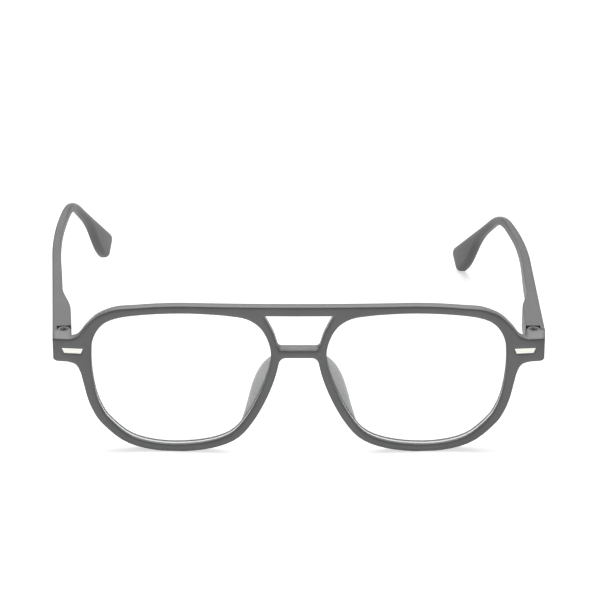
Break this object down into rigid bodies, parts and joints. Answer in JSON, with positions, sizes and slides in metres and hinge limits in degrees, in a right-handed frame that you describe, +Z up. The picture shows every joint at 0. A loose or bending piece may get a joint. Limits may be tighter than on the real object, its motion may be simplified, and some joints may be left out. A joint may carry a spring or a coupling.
{
  "type": "eyeglass frame",
  "caption": "Full-rim plastic eyeglass frame with a double bridge, clear lenses, silver endpiece inlays and folding temples with paddle-shaped ear tips",
  "frame": {"origin": "middle of the nose saddle: the centre of the flat underside of the lower bridge, halfway through its thickness", "axes": "+X across the front towards the right temple as seen from the front, +Y from the front back to the ears, +Z up; the rims rest on a table at z = -30.99 mm"},
  "size_m": [0.1504, 0.1417, 0.0469],
  "materials": {
    "front_plastic": "smooth satin-matte dark grey",
    "temple_plastic": "smooth satin-matte dark grey",
    "pad_plastic": "smooth light grey",
    "lens": "clear, untinted",
    "inlay_metal": "bright silver, fine polish",
    "screw_metal": "small steel screw and nut"
  },
  "bodies": {
    "front": {"front_frame": "front_plastic", "lens_left": "lens", "lens_right": "lens", "nose_pad_left": "pad_plastic", "nose_pad_right": "pad_plastic", "inlay_left": "inlay_metal", "inlay_right": "inlay_metal", "hinge_screw_left": "screw_metal", "hinge_screw_right": "screw_metal", "hinge_nut_left": "screw_metal", "hinge_nut_right": "screw_metal"},
    "left_temple": {"temple_left": "temple_plastic"},
    "right_temple": {"temple_right": "temple_plastic"}
  },
  "joints": [
    {"name": "left_fold", "type": "hinge", "parent": "front", "child": "left_temple", "pos_m": [-0.0693, 0.00976, 0], "axis": [0, 0, -1], "range_deg": [0, 90]},
    {"name": "right_fold", "type": "hinge", "parent": "front", "child": "right_temple", "pos_m": [0.0693, 0.00976, 0], "axis": [0, 0, 1], "range_deg": [-5, 81]}
  ]
}
